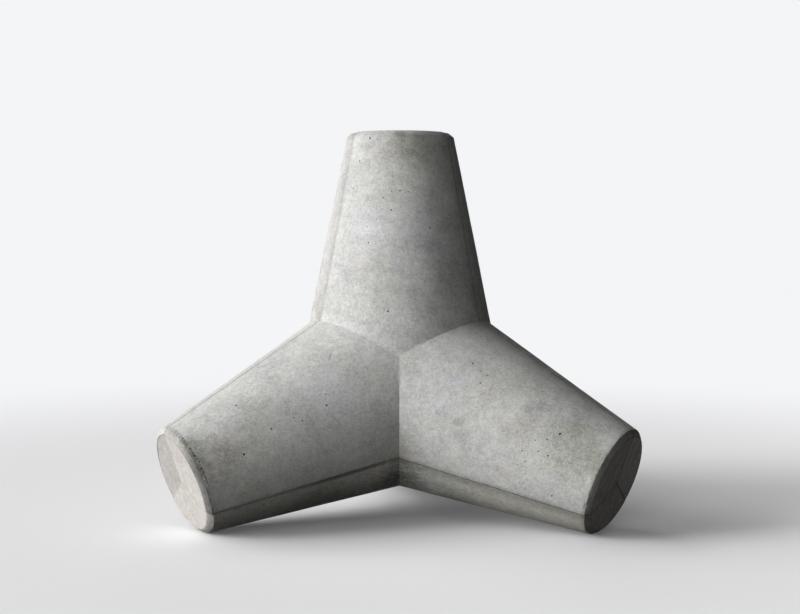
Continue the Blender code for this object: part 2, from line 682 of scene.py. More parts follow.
    def scattered_holes(self) -> list[AirHole]:
        """Scatter small air holes over every leg, most of them near its end.

        Returns:
            The holes, always the same ones.
        """
        draw = np.random.default_rng(self.seed)
        found = []
        for leg in Leg:
            for _ in range(self.holes.scattered):
                heading = draw.uniform(-180.0, 180.0)
                along = 66.0 + 203.0 * draw.uniform() ** 0.7
                radius = min(self.holes.smallest + draw.exponential(self.holes.typical), self.holes.largest)
                if leg is Leg.REAR or abs(heading) > 60.0 or draw.uniform() < self.holes.front_share:
                    found.append(AirHole(Spot(leg, heading, along), radius))
            for _ in range(self.holes.scattered // 5):
                inward = draw.uniform(6.0, 50.0)
                radius = min(self.holes.smallest + draw.exponential(self.holes.typical), self.holes.largest)
                found.append(AirHole(Spot(leg, draw.uniform(-180.0, 180.0), END_FACE, inward), radius))
        return found

    def sink_holes(self, mesh: bpy.types.Mesh) -> int:
        """Sink round holes into the skin at the grid's nearest free vertices.

        Args:
            mesh: The worn skin, which is changed.

        Returns:
            How many holes were sunk.
        """
        shape = bmesh.new()
        shape.from_mesh(mesh)
        shape.verts.ensure_lookup_table()
        tree = kdtree.KDTree(len(shape.verts))
        for vertex in shape.verts:
            tree.insert(vertex.co, vertex.index)
        tree.balance()
        taken: set[int] = set()
        chosen: list[tuple[bmesh.types.BMVert, float]] = []
        for hole in self.placed_holes() + self.scattered_holes():
            vertex = self.free_vertex(shape, tree, hole, taken)
            if vertex is not None:
                taken.update(near.index for face in vertex.link_faces for near in face.verts)
                chosen.append((vertex, self.holes.growth * hole.radius * MM))
        radii = self.open_mouths(shape, chosen)
        # This layer marks each hole's sunk rings, which the material paints nearly black as painted shade.
        inside = shape.verts.layers.float.new("hole")
        for radius in sorted(set(radii.values())):
            mouths = [face for face, size in radii.items() if size == radius]
            for drawn_in, sunk in self.holes.steps:
                thickness, depth = drawn_in * radius, -sunk * radius
                bmesh.ops.inset_individual(
                    shape, faces=mouths, thickness=thickness, depth=depth, use_even_offset=True
                )
                for face in mouths:
                    for vertex in face.verts:
                        vertex[inside] = 1.0
        shape.to_mesh(mesh)
        shape.free()
        return len(chosen)

    def free_vertex(
        self, shape: bmesh.types.BMesh, tree: kdtree.KDTree, hole: AirHole, taken: set[int]
    ) -> Union[bmesh.types.BMVert, None]:
        """Find the vertex nearest to a hole's place that has room for it.

        Args:
            shape: The worn skin.
            tree: Its vertices by place.
            hole: The hole to sink.
            taken: Vertices at or beside other holes.

        Returns:
            The vertex, or None where the grid is too fine or another hole is in the way.
        """
        room = self.holes.grid_room * self.holes.growth * hole.radius * MM
        for _, index, away in tree.find_n(self.plan.locate(hole.spot), 6):
            vertex = shape.verts[index]
            beside = {near.index for face in vertex.link_faces for near in face.verts}
            if len(vertex.link_edges) != 4 or beside & taken or away > 3.0 * MM:
                continue
            if min(edge.calc_length() for edge in vertex.link_edges) > room:
                return vertex
        return None

    def open_mouths(
        self, shape: bmesh.types.BMesh, chosen: list[tuple[bmesh.types.BMVert, float]]
    ) -> dict[bmesh.types.BMFace, float]:
        """Put a round face in the skin at each hole.

        Args:
            shape: The worn skin, which is changed.
            chosen: For each hole, the vertex that it takes the place of and its radius in metres.

        Returns:
            The radius of each new face, rounded to a tenth of a millimetre.
        """
        places = kdtree.KDTree(len(chosen))
        for number, (vertex, _) in enumerate(chosen):
            places.insert(vertex.co, number)
        places.balance()
        sizes = [radius for _, radius in chosen]
        made = bmesh.ops.bevel(
            shape, geom=[vertex for vertex, _ in chosen], offset=0.2 * MM, offset_type="OFFSET",
            affect="VERTICES", segments=1, profile=0.5,
        )
        mouths = list(made["faces"])
        edges = list(dict.fromkeys(edge for face in mouths for edge in face.edges))
        bmesh.ops.subdivide_edges(shape, edges=edges, cuts=1)
        radii = {}
        for face in mouths:
            centre, normal = face.calc_center_median(), face.normal.copy()
            number = places.find(centre)[1]
            for count, vertex in enumerate(face.verts):
                flat = vertex.co - centre
                lift = flat.dot(normal)
                stray = 1.0 + self.holes.unevenness * math.sin(2.1 * count + 1.7 * number)
                outward = (flat - lift * normal).normalized()
                vertex.co = centre + outward * sizes[number] * stray + lift * normal
            radii[face] = round(sizes[number] / MM, 1) * MM
        return radii

    def build(self) -> bpy.types.Object:
        """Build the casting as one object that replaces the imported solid.

        Returns:
            The object.
        """
        mesh = self.ideal_skin()
        self.wear_skin(mesh)
        count = self.sink_holes(mesh)
        mesh.shade_smooth()
        mesh.set_sharp_from_angle(angle=math.radians(33.0))
        casting = bpy.data.objects.new("casting", mesh)
        bpy.context.scene.collection.objects.link(casting)
        casting.data.materials.append(ConcreteAndPaintedShade().make(self.plan))
        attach(casting, "root")
        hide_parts(CASTING_NODE)
        log.info("casting: %d faces, %d air holes", len(mesh.polygons), count)
        return casting


class Signal:
    """A number or colour that varies over a surface: a node's output, whose arithmetic adds Math nodes."""

    def __init__(self, graph: "Graph", socket: bpy.types.NodeSocket) -> None:
        """Keep the socket.

        Args:
            graph: The node tree that the socket is in.
            socket: An output socket.
        """
        self.graph = graph
        self.socket = socket

    def __add__(self, other: "Term") -> "Signal":
        """Add."""
        return self.graph.math("ADD", self, other)

    def __radd__(self, other: "Term") -> "Signal":
        """Add to a number."""
        return self.graph.math("ADD", other, self)

    def __sub__(self, other: "Term") -> "Signal":
        """Subtract."""
        return self.graph.math("SUBTRACT", self, other)

    def __rsub__(self, other: "Term") -> "Signal":
        """Subtract from a number."""
        return self.graph.math("SUBTRACT", other, self)

    def __mul__(self, other: "Term") -> "Signal":
        """Multiply."""
        return self.graph.math("MULTIPLY", self, other)

    def __rmul__(self, other: "Term") -> "Signal":
        """Multiply a number."""
        return self.graph.math("MULTIPLY", other, self)

    def __truediv__(self, other: "Term") -> "Signal":
        """Divide."""
        return self.graph.math("DIVIDE", self, other)

    def __abs__(self) -> "Signal":
        """Drop the sign."""
        return self.graph.math("ABSOLUTE", self)

    def least(self, other: "Term") -> "Signal":
        """Take the smaller of the two."""
        return self.graph.math("MINIMUM", self, other)

    def most(self, other: "Term") -> "Signal":
        """Take the larger of the two."""
        return self.graph.math("MAXIMUM", self, other)

    def rise(self, low: float, high: float) -> "Signal":
        """Go smoothly from 0 to 1 between two values, or from 1 to 0 where the first is the larger.

        Args:
            low: Where the result is 0.
            high: Where the result is 1.

        Returns:
            The result.
        """
        settings = {"interpolation_type": "SMOOTHSTEP"}
        inputs = {"Value": self, "From Min": low, "From Max": high}
        return self.graph.node("ShaderNodeMapRange", settings, inputs, "Result")


Term = Union[Signal, float]
Fed = Union[Signal, float, Sequence[float]]


class Graph:
    """A node tree to be filled: every node in it comes from one method."""

    def __init__(self, tree: bpy.types.NodeTree) -> None:
        """Empty the tree.

        Args:
            tree: A material's or world's node tree.
        """
        self.tree = tree
        tree.nodes.clear()

    def node(
        self, kind: str, settings: Mapping[str, Any], inputs: Mapping[str, Fed], output: str = ""
    ) -> Signal:
        """Add a node.

        Args:
            kind: The node's type.
            settings: Its properties, set first.
            inputs: Values or links of its sockets, by socket name.
            output: Name of the output to return, or nothing for the first.

        Returns:
            The output.
        """
        node = self.tree.nodes.new(kind)
        for name, value in settings.items():
            setattr(node, name, value)
        for name, value in inputs.items():
            socket = self.socket(node.inputs, name)
            if isinstance(value, Signal):
                self.tree.links.new(value.socket, socket)
            else:
                socket.default_value = value
        return Signal(self, self.socket(node.outputs, output) if node.outputs else None)

    @staticmethod
    def socket(sockets: Any, name: str) -> bpy.types.NodeSocket:
        """Find a socket.

        Args:
            sockets: A node's inputs or outputs.
            name: The socket's identifier or name, or nothing for the first.

        Returns:
            The socket.
        """
        for key in ("identifier", "name"):
            for socket in sockets:
                if not name or getattr(socket, key) == name:
                    return socket
        raise KeyError(name)

    def math(self, operation: str, first: Term, second: Term = 0.0) -> Signal:
        """Add a Math node."""
        return self.node("ShaderNodeMath", {"operation": operation}, {"Value": first, "Value_001": second})

    def vector(self, operation: str, first: Fed, second: Fed, output: str = "Vector") -> Signal:
        """Add a Vector Math node."""
        settings = {"operation": operation}
        return self.node("ShaderNodeVectorMath", settings, {"Vector": first, "Vector_001": second}, output)

    def mix(self, factor: Term, first: Fed, second: Fed, blend: str = "MIX") -> Signal:
        """Add a Mix node for colours.

        Args:
            factor: How much of the second colour there is.
            first: The first colour.
            second: The second colour.
            blend: How the second is laid over the first.

        Returns:
            The mixed colour.
        """
        settings = {"data_type": "RGBA", "blend_type": blend}
        inputs = {"Factor_Float": factor, "A_Color": first, "B_Color": second}
        return self.node("ShaderNodeMix", settings, inputs, "Result_Color")

    def noise(self, place: Signal, size: float, detail: float = 2.0, roughness: float = 0.5) -> Signal:
        """Add noise.

        Args:
            place: Where to read it.
            size: Typical width of a bump, in metres.
            detail: Octaves of finer noise.
            roughness: How much each finer octave counts.

        Returns:
            The noise, mostly from -0.3 to 0.3.
        """
        inputs = {"Vector": place, "Scale": 1.0 / size, "Detail": detail, "Roughness": roughness}
        return self.node("ShaderNodeTexNoise", {}, inputs) - 0.5

    def shuffle(self, place: Signal, size: float, reach: float) -> Signal:
        """Shift places about by noise, to give soft shapes ragged outlines.

        Args:
            place: The places.
            size: Typical width of the noise, in metres.
            reach: Farthest shift, in metres.

        Returns:
            The shifted places.
        """
        inputs = {"Vector": place, "Scale": 1.0 / size, "Detail": 3.0, "Roughness": 0.6}
        swirl = self.node("ShaderNodeTexNoise", {}, inputs, "Color")
        centred = self.vector("SUBTRACT", swirl, (0.5, 0.5, 0.5))
        return self.vector("ADD", place, self.vector("MULTIPLY", centred, (2.0 * reach,) * 3))


class SkinPlaces:
    """Where a point of the casting lies, as signals: its leg, its shell, and how near seam and rim are."""

    EDGE = 0.4 * MM

    def __init__(self, graph: Graph, plan: BodyPlan) -> None:
        """Add the nodes that measure a point.

        Args:
            graph: The material's node tree.
            plan: The casting's plan.
        """
        self.plan = plan
        self.place = graph.node("ShaderNodeTexCoord", {}, {}, "Object")
        self.along = {
            leg: graph.vector("DOT_PRODUCT", self.place, tuple(axis), "Value") - plan.middle.dot(axis)
            for leg, axis in plan.axes.items()
        }
        first, second, third, fourth = self.along.values()
        high_pair, low_pair = first.most(second), first.least(second)
        high_other, low_other = third.most(fourth), third.least(fourth)
        apart = (plan.axes[Leg.TOP] - plan.axes[Leg.REAR]).length
        self.highest = high_pair.most(high_other)
        self.next_highest = high_pair.least(high_other).most(low_pair.most(low_other))
        self.lowest = low_pair.least(low_other)
        next_lowest = low_pair.most(low_other).least(high_pair.least(high_other))
        self.seam = (next_lowest - self.lowest) / apart
        self.crease = (self.highest - self.next_highest) / apart
        self.rim = self.highest - plan.rim_along
        reach = graph.vector("DISTANCE", self.place, tuple(plan.middle), "Value")
        self.from_axis = graph.math("SQRT", reach * reach - self.highest * self.highest)

    def on_leg(self, leg: Leg) -> Signal:
        """Mark a leg."""
        return (self.highest - self.along[leg]).rise(self.EDGE, 0.0)

    def in_shell(self, leg: Leg) -> Signal:
        """Mark the mould shell opposite a leg."""
        return (self.along[leg] - self.lowest).rise(self.EDGE, 0.0)

    def beside(self, leg: Leg) -> Signal:
        """Mark the half of the seams and creases that lies towards a leg."""
        return (self.next_highest - self.along[leg]).rise(self.EDGE, 0.0)

    def on_face(self) -> Signal:
        """Mark the end faces."""
        return self.highest.rise(self.plan.reach - 1.9 * MM, self.plan.reach - 1.3 * MM)


class Tint(Enum):
    """A hue that the cement drifts to in places."""

    OLIVE = (0.412, 0.424, 0.370, 1.0)
    WARM = (0.436, 0.4215, 0.388, 1.0)
    BLUE = (0.416, 0.419, 0.434, 1.0)


@dataclass(frozen=True)
class StainAndShade:
    """A soft patch on the skin: most are stains, and some are shade painted into chips, the scratch, by the
    creases and on the legs' undersides.

    Attributes:
        spot: Its middle.
        radius: How far it spreads, in millimetres.
        shade: How much it darkens, or lightens where it is negative.
        tint: The hue that it drifts to, if any.
        hue: How far it drifts.
    """

    spot: Spot
    radius: float
    shade: float
    tint: Union[Tint, None] = None
    hue: float = 0.6


# Heading in degrees, then the place along the leg and the radius in millimetres, the shade, and any tint.
# Most rows are stains; the rows noted below are painted shade.
STAINS_AND_SHADE = {
    Leg.TOP: (
        (16.0, 250.0, 27.0, 0.20, Tint.OLIVE, 0.9), (8.0, 224.0, 12.0, 0.08, Tint.OLIVE),
        (-5.0, 257.0, 20.0, 0.15, Tint.WARM), (0.0, 269.5, 11.0, 0.24, Tint.OLIVE),
        (-27.0, 262.0, 24.0, 0.11), (-30.0, 247.0, 20.0, -0.02, Tint.WARM),
        (14.0, 165.0, 27.0, 0.08, Tint.BLUE), (26.0, 150.0, 20.0, 0.15, Tint.BLUE),
        (36.0, 171.0, 11.0, 0.10), (-24.0, 172.0, 34.0, -0.08, Tint.BLUE),
        (-3.0, 124.0, 10.0, 0.09, Tint.BLUE), (10.0, 103.0, 18.0, 0.03, Tint.BLUE),
        (28.0, 117.0, 9.0, 0.10), (0.0, 151.0, 13.0, 0.06), (22.0, 88.0, 12.0, 0.06),
        (48.0, 200.0, 16.0, -0.10), (46.0, 105.0, 16.0, -0.08),
        (52.0, 255.0, 14.0, 0.05, Tint.OLIVE, 0.9), (46.0, 225.0, 40.0, -0.06),
        # All painted shade: the first two patches here darken the upright leg's right side low down by the
        # crease, and the third fills a chip.
        (42.0, 118.0, 40.0, 0.13), (60.0, 98.0, 22.0, 0.22), (-61.0, 71.5, 2.6, 0.6),
    ),
    Leg.LEFT: (
        (-6.0, 249.0, 34.0, 0.18, Tint.WARM, 0.8), (14.0, 266.0, 19.0, 0.34, Tint.OLIVE, 0.8),
        (-8.0, 268.0, 18.0, 0.26, Tint.OLIVE), (-28.0, 268.0, 14.0, 0.12),
        # Both patches here are painted shade on the left leg's underside, by the crotch and along it, with
        # a real olive tint.
        (-84.0, 80.0, 34.0, 0.30, Tint.OLIVE), (-96.0, 155.0, 64.0, 0.46, Tint.OLIVE),
        (-28.0, 255.0, 20.0, 0.08, Tint.OLIVE), (-42.0, 234.0, 16.0, -0.02, Tint.OLIVE, 0.8),
        (-14.0, 207.0, 18.0, 0.04, Tint.OLIVE, 0.8), (-52.0, 206.0, 14.0, -0.12),
        (-53.0, 251.0, 12.0, -0.12, Tint.WARM), (-46.0, 168.0, 15.0, 0.07),
        (-4.0, 118.0, 34.0, -0.06, Tint.BLUE), (-21.0, 113.0, 11.0, 0.0, Tint.BLUE),
        (40.0, 238.0, 11.0, 0.06, Tint.BLUE), (-52.0, 84.0, 15.0, 0.10, Tint.OLIVE, 0.9),
        # From the third patch on this line on, all are painted shade: three along the scratch, then two in
        # chips.
        (-27.0, 80.0, 15.0, 0.08), (16.0, 86.0, 11.0, 0.06, Tint.WARM), (20.4, 100.2, 1.8, 0.45),
        (21.6, 98.2, 2.2, 0.5), (22.8, 96.2, 1.8, 0.4), (61.0, 192.0, 3.6, 0.5),
        (60.5, 184.0, 3.0, 0.35),
    ),
    Leg.RIGHT: (
        # Both patches here are painted shade on the right leg's underside towards the crotch, with a real
        # olive tint.
        (78.0, 72.0, 40.0, 0.42, Tint.OLIVE), (88.0, 130.0, 34.0, 0.18, Tint.OLIVE),
        (2.0, 240.0, 48.0, 0.25, Tint.OLIVE, 0.7), (-20.0, 205.0, 48.0, 0.12),
        (-14.0, 232.0, 14.0, 0.05, Tint.OLIVE), (6.0, 264.0, 18.0, 0.09, Tint.OLIVE),
        (4.0, 184.0, 22.0, 0.09, Tint.WARM, 0.9), (12.0, 170.0, 13.0, 0.10, Tint.WARM),
        (-10.0, 178.0, 10.0, 0.09, Tint.OLIVE), (42.0, 178.0, 12.0, 0.02, Tint.WARM),
        (20.0, 124.0, 6.5, 0.20, Tint.WARM, 0.9), (-4.0, 106.0, 12.0, 0.03, Tint.BLUE),
        (16.0, 98.0, 16.0, 0.03, Tint.BLUE), (50.0, 82.0, 20.0, 0.10, Tint.WARM, 0.9),
        (-47.0, 130.0, 16.0, -0.07), (34.0, 205.0, 22.0, -0.04),
    ),
}
# Pinker stretches of the left foot's chamfer: heading in degrees, radius in millimetres, and strength.
PINK_CHAMFER = ((18.0, 9.0, 0.8), (-8.0, 9.0, 0.8), (-34.0, 10.0, 0.9), (-62.0, 10.0, 0.9))


@dataclass(frozen=True)
class SeamDirtAndShade:
    """How dirt, rough edges and painted shade darken a mould seam along one leg: a dark line in the joint,
    and bands beside it that are partly dirt and partly painted shade of the step and dip.

    Attributes:
        line: How dark the line itself is.
        width: Half the line's width, in millimetres.
        broken: How much of the line is interrupted.
        proud_shade: How dark the prouder shell is beside the line.
        proud_width: How far that reaches, in millimetres.
        low_shade: How dark the lower shell is beside the line.
        low_width: How far that reaches, in millimetres.
        swell: Where along the leg the line swells to a soft band, in millimetres from the middle of the
            body, or 0 where it never does.
    """

    line: float = 0.40
    width: float = 1.0
    broken: float = 0.5
    proud_shade: float = 0.05
    proud_width: float = 3.0
    low_shade: float = 0.10
    low_width: float = 5.0
    swell: float = 0.0


# Each seam's darkening; the bands beside the lines are partly painted shade.
SEAM_DIRT_AND_SHADE = {
    (Leg.TOP, Leg.LEFT): SeamDirtAndShade(0.12, 1.1, 0.5, 0.30, 8.0, 0.18, 26.0),
    (Leg.TOP, Leg.RIGHT): SeamDirtAndShade(0.70, 1.5, 0.95, 0.10, 8.0, -0.12, 14.0),
    (Leg.LEFT, Leg.TOP): SeamDirtAndShade(0.60, 2.8, 0.45, 0.04, 3.0, 0.12, 9.0),
    (Leg.LEFT, Leg.RIGHT): SeamDirtAndShade(0.62, 1.9, 0.30, 0.16, 4.5, 0.14, 6.0, 135.0),
    (Leg.RIGHT, Leg.TOP): SeamDirtAndShade(0.36, 2.0, 0.5, 0.04, 5.0, 0.06, 6.0),
    (Leg.RIGHT, Leg.LEFT): SeamDirtAndShade(0.42, 1.3, 0.7, 0.24, 8.0, 0.46, 16.0),
}


@dataclass(frozen=True)
class FaceLine:
    """A mould seam across an end face, from its middle to the rim.

    Attributes:
        line: How dark it is.
        width: Half its width, in millimetres.
    """

    line: float = 0.3
    width: float = 1.0


FACE_LINES = {
    (Leg.LEFT, Leg.TOP): FaceLine(0.22, 1.6),
    (Leg.LEFT, Leg.REAR): FaceLine(0.20, 1.4),
    (Leg.LEFT, Leg.RIGHT): FaceLine(0.06, 1.0),
    (Leg.RIGHT, Leg.TOP): FaceLine(0.60, 3.4),
    (Leg.RIGHT, Leg.REAR): FaceLine(0.85, 1.8),
    (Leg.RIGHT, Leg.LEFT): FaceLine(0.45, 1.8),
}

FACE_SHADES = {
    (Leg.LEFT, Leg.RIGHT): 0.09,
    (Leg.LEFT, Leg.REAR): -0.12,
    (Leg.LEFT, Leg.TOP): -0.11,
    (Leg.RIGHT, Leg.LEFT): -0.45,
    (Leg.RIGHT, Leg.REAR): -0.12,
    (Leg.RIGHT, Leg.TOP): -0.15,
}


@dataclass(frozen=True)
class ConcreteAndPaintedShade:
    """Bare grey concrete as it left a smooth mould, with shade painted into its holes, chips and scratch,
    onto its chamfers, beside its seams, by the creases and on the legs' undersides.

    Attributes:
        cement: Its mean colour.
        face: Colour of the end faces, which dried paler and pinker.
        underside: Colour of the shell that lay underneath.
        flank: Colour of the left rear shell.
        roughness: Its mean roughness.
        mottle: Strength of the shade's coarse mottle.
        blotches: Strength of its finer blotches.
        grain: Strength of its sandy grain.
    """

    cement: Colour = (0.423, 0.4225, 0.4085, 1.0)
    face: Colour = (0.455, 0.428, 0.400, 1.0)
    underside: Colour = (0.435, 0.418, 0.352, 1.0)
    flank: Colour = (0.432, 0.420, 0.405, 1.0)
    roughness: float = 0.88
    mottle: float = 0.60
    blotches: float = 0.60
    grain: float = 0.95

    def make(self, plan: BodyPlan) -> bpy.types.Material:
        """Make the material.

        Args:
            plan: The casting's plan, which says where its seams and rims are.

        Returns:
            The material.
        """
        material = bpy.data.materials.new("concrete")
        material.use_nodes = True
        graph = Graph(material.node_tree)
        skin = SkinPlaces(graph, plan)
        warped = graph.shuffle(skin.place, 24.0 * MM, 9.0 * MM)
        mottle = graph.noise(skin.place, 10.0 * MM, 4.0, 0.66)
        blotches = graph.noise(skin.place, 3.4 * MM, 3.0, 0.6)
        grain = graph.noise(skin.place, 1.4 * MM, 2.0, 0.7)
        darkened_by_stains_and_shade, hues = self.stains_and_shade(graph, skin, warped)
        texture = self.mottle * mottle + self.blotches * blotches + self.grain * grain
        tone = 1.0 - darkened_by_stains_and_shade + self.clouds(graph, skin) + texture
        tone = tone * (1.0 - self.seam_dirt_and_shade(graph, skin)) * (1.0 - self.rim_dirt_and_painted_shade(graph, skin))
        tone = tone * (1.0 - self.specks(graph, skin)) * (1.0 - self.face_marks(graph, skin))
        colour = self.hue(graph, skin, hues)
        colour = graph.mix(1.0, colour, tone.most(0.08), "MULTIPLY")
        bump = self.grain_relief(graph, skin)
        rough = self.roughness + 0.25 * mottle - 0.25 * darkened_by_stains_and_shade
        inputs = {"Base Color": colour, "Roughness": rough, "Normal": bump, "Specular IOR Level": 0.32}
        shader = graph.node("ShaderNodeBsdfPrincipled", {}, inputs, "BSDF")
        graph.node("ShaderNodeOutputMaterial", {}, {"Surface": shader})
        return material

    @staticmethod
    def placed_stains_and_shade(inward: float = 5.0) -> list[StainAndShade]:
        """List the stains and the patches of painted shade that are given one by one.

        Args:
            inward: How far in from the side the chamfer's pink patches lie, in millimetres.

        Returns:
            Those on the legs' sides, then those on the left foot's chamfer.
        """
        found = []
        for leg, stains_and_shade in STAINS_AND_SHADE.items():
            for heading, along, *look in stains_and_shade:
                found.append(StainAndShade(Spot(leg, heading, along), *look))
        for heading, radius, hue in PINK_CHAMFER:
            found.append(StainAndShade(Spot(Leg.LEFT, heading, END_FACE, inward), radius, 0.0, Tint.WARM, hue))
        return found

    def stains_and_shade(
        self, graph: Graph, skin: SkinPlaces, warped: Signal
    ) -> tuple[Signal, dict[Tint, Signal]]:
        """Lay the listed patches, stains and painted shade, over stains that noise places everywhere.

        Args:
            graph: The material's node tree.
            skin: Where the point lies.
            warped: The point, shifted about.

        Returns:
            How much they darken, and how far each tint is drifted to.
        """
        widths = {Tint.OLIVE: 61.0, Tint.WARM: 43.0, Tint.BLUE: 52.0}
        wide = {tint: graph.noise(skin.place, width * MM, 3.0, 0.6) for tint, width in widths.items()}
        hues = {tint: 0.45 * cloud.rise(0.02, 0.22) for tint, cloud in wide.items()}
        shade = 0.10 * wide[Tint.OLIVE].rise(0.0, 0.3)
        for stain_and_shade in self.placed_stains_and_shade():
            place = warped if stain_and_shade.radius > 6.0 else skin.place
            away = graph.vector("DISTANCE", place, tuple(skin.plan.locate(stain_and_shade.spot)), "Value")
            mask = away.rise(stain_and_shade.radius * MM, 0.25 * stain_and_shade.radius * MM)
            if stain_and_shade.shade:
                shade = shade + stain_and_shade.shade * mask
            if stain_and_shade.tint:
                hues[stain_and_shade.tint] = hues[stain_and_shade.tint] + stain_and_shade.hue * mask
        return shade, hues

    @staticmethod
    def clouds(graph: Graph, skin: SkinPlaces) -> Signal:
        """Add broad clouds, bands across the upright leg, and flow marks that curve over the feet.

        Args:
            graph: The material's node tree.
            skin: Where the point lies.

        Returns:
            How much they lighten.
        """
        broad = graph.noise(skin.place, 38.0 * MM, 3.0, 0.55)
        level = graph.vector("MULTIPLY", graph.shuffle(skin.place, 30.0 * MM, 5.0 * MM), (1.0, 1.0, 4.5))
        bands = graph.noise(level, 46.0 * MM, 3.0, 0.6) * skin.on_leg(Leg.TOP)
        heart = tuple(skin.plan.locate(Spot(Leg.RIGHT, -4.0, 62.0)))
        swept = graph.shuffle(skin.place, 40.0 * MM, 6.0 * MM)
        away = graph.vector("DISTANCE", swept, heart, "Value")
        beyond = graph.vector("MULTIPLY", swept, (0.16, 0.16, 0.16))
        arc = graph.node("ShaderNodeCombineXYZ", {}, {"X": away})
        arcs = graph.noise(graph.vector("ADD", arc, beyond), 7.0 * MM, 3.0, 0.65) * skin.on_leg(Leg.RIGHT)
        rays = graph.vector("MULTIPLY", skin.place, (5.0, 5.0, 1.0))
        wood = graph.noise(rays, 26.0 * MM, 3.0, 0.65) * skin.on_leg(Leg.LEFT)
        near_crease = skin.crease.rise(45.0 * MM, 0.0)
        run = graph.vector("MULTIPLY", graph.shuffle(skin.place, 18.0 * MM, 3.0 * MM), (0.22, 0.22, 1.0))
        veins = abs(graph.noise(run, 5.0 * MM, 2.0, 0.5)).rise(0.05, 0.0) * skin.in_shell(Leg.TOP)
        veins = veins * skin.crease.rise(70.0 * MM, 15.0 * MM)
        marks = (0.15 + 0.18 * near_crease) * arcs + (0.05 + 0.3 * near_crease) * wood
        return 0.40 * broad + 0.42 * bands + marks + 0.35 * veins

    @staticmethod
    def seam_dirt_and_shade(graph: Graph, skin: SkinPlaces) -> Signal:
        """Darken the mould seams, each in its own way: a dark line in the joint, and bands beside it that
        are partly dirt and partly painted shade of the seam's step and dip.

        Args:
            graph: The material's node tree.
            skin: Where the point lies.

        Returns:
            How much they darken.
        """
        ragged = graph.noise(skin.place, 5.0 * MM, 3.0, 0.7)
        jitter = skin.seam + 1.6 * MM * ragged
        proud = skin.in_shell(Leg.REAR)
        plain = SeamDirtAndShade()
        behind = 1.0 - skin.beside(Leg.REAR).most(skin.on_leg(Leg.REAR))
        worn = (ragged + 0.05).rise(-0.12, 0.10)
        total = plain.line * jitter.rise(plain.width * MM, 0.2 * plain.width * MM) * worn * (1.0 - behind)
        for (leg, towards), dirt_and_shade in SEAM_DIRT_AND_SHADE.items():
            here = skin.on_leg(leg) * skin.beside(towards)
            gaps = 1.0 - dirt_and_shade.broken * (ragged + 0.04).rise(0.05, -0.07)
            line = dirt_and_shade.line * gaps * jitter.rise(dirt_and_shade.width * MM, 0.25 * dirt_and_shade.width * MM)
            if dirt_and_shade.swell:
                near = abs(skin.highest - dirt_and_shade.swell * MM).rise(75.0 * MM, 20.0 * MM)
                band = near * skin.seam.rise(2.4 * dirt_and_shade.width * MM, 0.4 * dirt_and_shade.width * MM)
                line = (0.55 * line).most(0.9 * dirt_and_shade.line * band)
            # Bands beside the line: partly dirt, partly painted shade where the prouder shell rolls off and
            # the lower shell dips.
            high = dirt_and_shade.proud_shade * proud * skin.seam.rise(dirt_and_shade.proud_width * MM, 0.0)
            low = dirt_and_shade.low_shade * (1.0 - proud) * jitter.rise(dirt_and_shade.low_width * MM, 0.0)
            total = total + here * (line + high + low)
        return total.least(0.9) * (1.0 - 0.75 * skin.on_face())

    @staticmethod
    def rim_dirt_and_painted_shade(graph: Graph, skin: SkinPlaces) -> Signal:
        """Darken the crumbled rims, paint shade into the air holes, and darken the chamfers, partly for
        their rough broken surface and partly as painted shade.

        Args:
            graph: The material's node tree.
            skin: Where the point lies.

        Returns:
            How much they darken.
        """
        crumbs = graph.noise(skin.place, 2.6 * MM, 3.0, 0.7)
        away = skin.rim + 1.5 * MM + 3.0 * MM * crumbs
        edge = abs(away).rise(2.6 * MM, 0.4 * MM)
        worst = tuple(skin.plan.locate(Spot(Leg.LEFT, 10.0, 270.0)))
        near = graph.vector("DISTANCE", skin.place, worst, "Value").rise(52.0 * MM, 26.0 * MM)
        strength = 0.10 + 0.55 * near * crumbs.rise(-0.15, 0.15)
        inmost = skin.plan.end_radius - skin.plan.chamfer
        # The chamfers of the right leg, the upright leg and the left foot's front are darkened partly for
        # their rough broken surface and partly as painted shade; on the left foot, more towards the bottom.
        cut = (skin.rim + 1.5 * MM * crumbs).rise(-0.5 * MM, 0.5 * MM)
        cut = cut * skin.from_axis.rise(inmost - 2.2 * MM, inmost - 0.6 * MM)
        low = 0.5 + 0.5 * skin.along[Leg.TOP].rise(-45.0 * MM, -70.0 * MM)
        left = 0.58 * skin.on_leg(Leg.LEFT) * skin.in_shell(Leg.REAR) * low
        broken = cut * (0.60 * skin.on_leg(Leg.RIGHT) + 0.18 * skin.on_leg(Leg.TOP) + left)
        # Painted shade inside the air holes: their sunk rings are made nearly black.
        hole = graph.node("ShaderNodeAttribute", {"attribute_name": "hole"}, {}, "Fac")
        return (edge * strength + broken + 0.93 * hole).least(0.95)

    @staticmethod
    def face_marks(graph: Graph, skin: SkinPlaces) -> Signal:
        """Shade the three fields that the mould left on an end face, and the lines between them.

        Args:
            graph: The material's node tree.
            skin: Where the point lies.

        Returns:
            How much they darken, or lighten where it is negative.
        """
        ragged = graph.noise(skin.place, 4.0 * MM, 3.0, 0.7)
        streaks = graph.noise(graph.vector("MULTIPLY", skin.place, (1.0, 1.0, 0.4)), 9.0 * MM, 3.0, 0.6)
        total = 1.1 * streaks * skin.on_leg(Leg.RIGHT)
        for (leg, towards), mark in FACE_LINES.items():
            here = skin.on_leg(leg) * skin.beside(towards)
            line = (skin.seam + 1.0 * MM * ragged).rise(mark.width * MM, 0.3 * mark.width * MM)
            total = total + mark.line * here * line * (1.0 - 0.8 * ragged)
        for (leg, shell), shade in FACE_SHADES.items():
            total = total + shade * skin.on_leg(leg) * skin.in_shell(shell)
        return total * skin.on_face()

